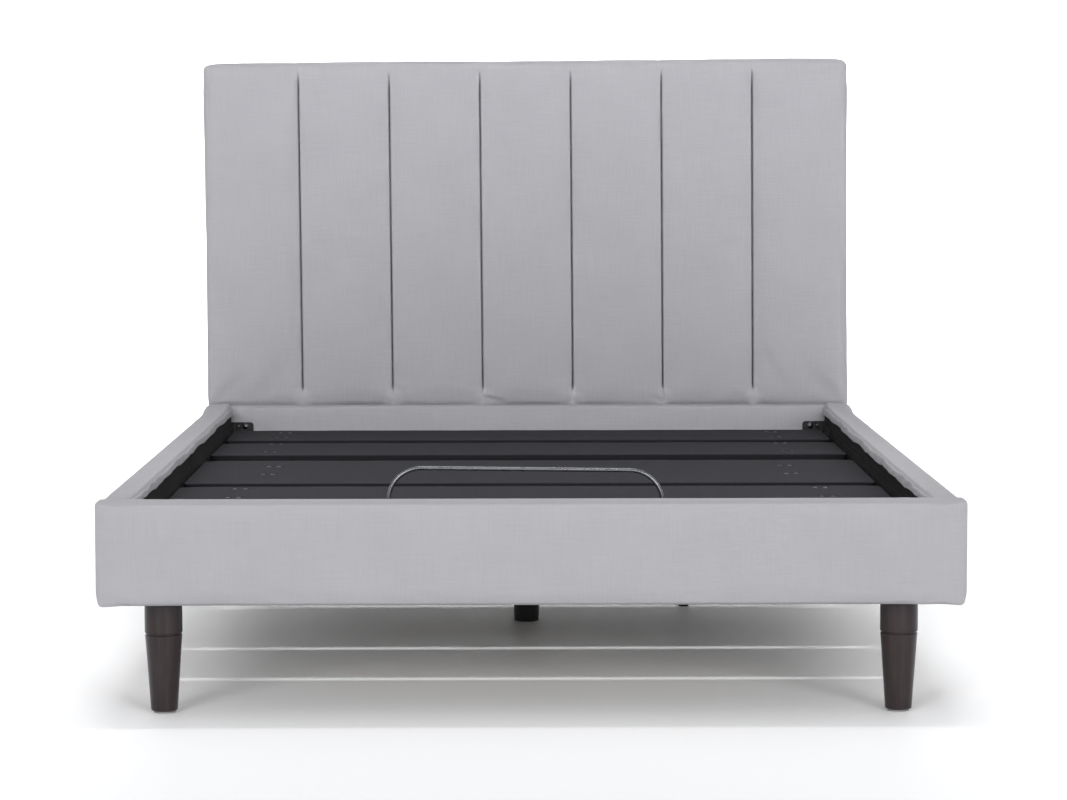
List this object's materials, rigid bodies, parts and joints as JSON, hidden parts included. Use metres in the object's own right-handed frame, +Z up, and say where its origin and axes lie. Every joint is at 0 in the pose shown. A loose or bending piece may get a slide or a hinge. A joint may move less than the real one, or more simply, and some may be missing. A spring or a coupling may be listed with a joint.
{
  "type": "adjustable bed base",
  "caption": "Upholstered bed with a channelled headboard and a powered, padded slatless deck whose pillow, back, thigh and calf sections lift.",
  "frame": {"origin": "centre of the footprint, on the floor", "axes": "+Z up, +Y towards the headboard, +X across the bed"},
  "size_m": [1.672, 2.24, 1.312],
  "materials": {
    "bar_steel": "semi-gloss charcoal powder coat",
    "black_oxide": "dark oxide",
    "black_plastic": "moulded black plastic",
    "board_wood": "raw plywood and pine",
    "deck_fabric": "charcoal woven cover",
    "dust_cloth": "thin black non-woven cloth",
    "frame_steel": "black powder coat",
    "grey_nylon": "natural nylon",
    "leg_wood": "dark espresso satin lacquer",
    "light_fabric": "light grey woven fabric over foam",
    "rubber": "moulded rubber",
    "zinc_steel": "bright zinc plate"
  },
  "bodies": {
    "bedstead": {"back_actuator": "black_plastic", "base_cross_tubes": "frame_steel", "base_side_tube_left": "frame_steel", "base_side_tube_right": "frame_steel", "bracket_bolts": "black_oxide", "control_box": "black_plastic", "corner_blocks": "board_wood", "corner_bracket_left": "frame_steel", "corner_bracket_right": "frame_steel", "front_board_core": "board_wood", "front_board_upholstery": "light_fabric", "head_rail_core": "board_wood", "head_rail_upholstery": "light_fabric", "headboard_core": "board_wood", "headboard_dust_cover": "dust_cloth", "headboard_upholstery": "light_fabric", "leg_actuator": "black_plastic", "leg_fixings": "zinc_steel", "leg_front_left": "leg_wood", "leg_front_right": "leg_wood", "leg_glides": "grey_nylon", "leg_rear_left": "leg_wood", "leg_rear_right": "leg_wood", "rail_ledges": "board_wood", "rail_linings": "dust_cloth", "rubber_pads": "rubber", "seat_board": "board_wood", "seat_cover": "deck_fabric", "seat_frame": "frame_steel", "seat_hinge_pins": "zinc_steel", "seat_screws": "black_oxide", "side_rail_core_left": "board_wood", "side_rail_core_right": "board_wood", "side_rail_upholstery_left": "light_fabric", "side_rail_upholstery_right": "light_fabric", "support_legs": "frame_steel"},
    "pillow": {"pillow_board": "board_wood", "pillow_cover": "deck_fabric", "pillow_screws": "black_oxide", "pillow_frame": "frame_steel"},
    "back": {"back_board": "board_wood", "back_cover": "deck_fabric", "back_screws": "black_oxide", "back_frame": "frame_steel", "pillow_hinge_pins": "zinc_steel", "pillow_actuator": "black_plastic"},
    "pillow_rod": {"pillow_actuator_rod": "zinc_steel"},
    "back_rod": {"back_actuator_rod": "zinc_steel"},
    "leg_rod": {"leg_actuator_rod": "zinc_steel"},
    "thigh": {"thigh_board": "board_wood", "thigh_cover": "deck_fabric", "thigh_screws": "black_oxide", "thigh_frame": "frame_steel", "knee_hinge_pins": "zinc_steel"},
    "calf": {"calf_board": "board_wood", "calf_cover": "deck_fabric", "calf_screws": "black_oxide", "calf_frame": "frame_steel", "retainer_bar": "bar_steel"},
    "rollers": {"foot_rollers": "grey_nylon"}
  },
  "joints": [
    {"name": "back_lift", "type": "hinge", "parent": "bedstead", "child": "back", "pos_m": [0, 0.2925, 0.33], "axis": [1, 0, 0], "range_deg": [0, 60]},
    {"name": "pillow_tilt", "type": "hinge", "parent": "back", "child": "pillow", "pos_m": [0, 0.6845, 0.33], "axis": [1, 0, 0], "range_deg": [0, 30]},
    {"name": "thigh_lift", "type": "hinge", "parent": "bedstead", "child": "thigh", "pos_m": [0, -0.2925, 0.33], "axis": [-1, 0, 0], "range_deg": [0, 35]},
    {"name": "knee_fold", "type": "hinge", "parent": "thigh", "child": "calf", "pos_m": [0, -0.6375, 0.33], "axis": [-1, 0, 0], "range_deg": [-65.8, 0]},
    {"name": "roller_spin", "type": "hinge", "parent": "calf", "child": "rollers", "pos_m": [0, -1.025, 0.3263], "axis": [1, 0, 0], "continuous": true},
    {"name": "back_rod_slide", "type": "slide", "parent": "bedstead", "child": "back_rod", "axis": [0, 1, 0], "range_m": [0, 0.0926]},
    {"name": "leg_rod_slide", "type": "slide", "parent": "bedstead", "child": "leg_rod", "axis": [0, -1, 0], "range_m": [0, 0.0508]},
    {"name": "pillow_rod_slide", "type": "slide", "parent": "back", "child": "pillow_rod", "axis": [0, 1, 0], "range_m": [0, 0.0299]}
  ],
  "couplings": [
    {"joint": "knee_fold", "follows": "thigh_lift", "ratio": -1.88},
    {"joint": "back_rod_slide", "follows": "back_lift", "m_per_rad": 0.088386},
    {"joint": "leg_rod_slide", "follows": "thigh_lift", "m_per_rad": 0.083008},
    {"joint": "pillow_rod_slide", "follows": "pillow_tilt", "m_per_rad": 0.057003}
  ]
}
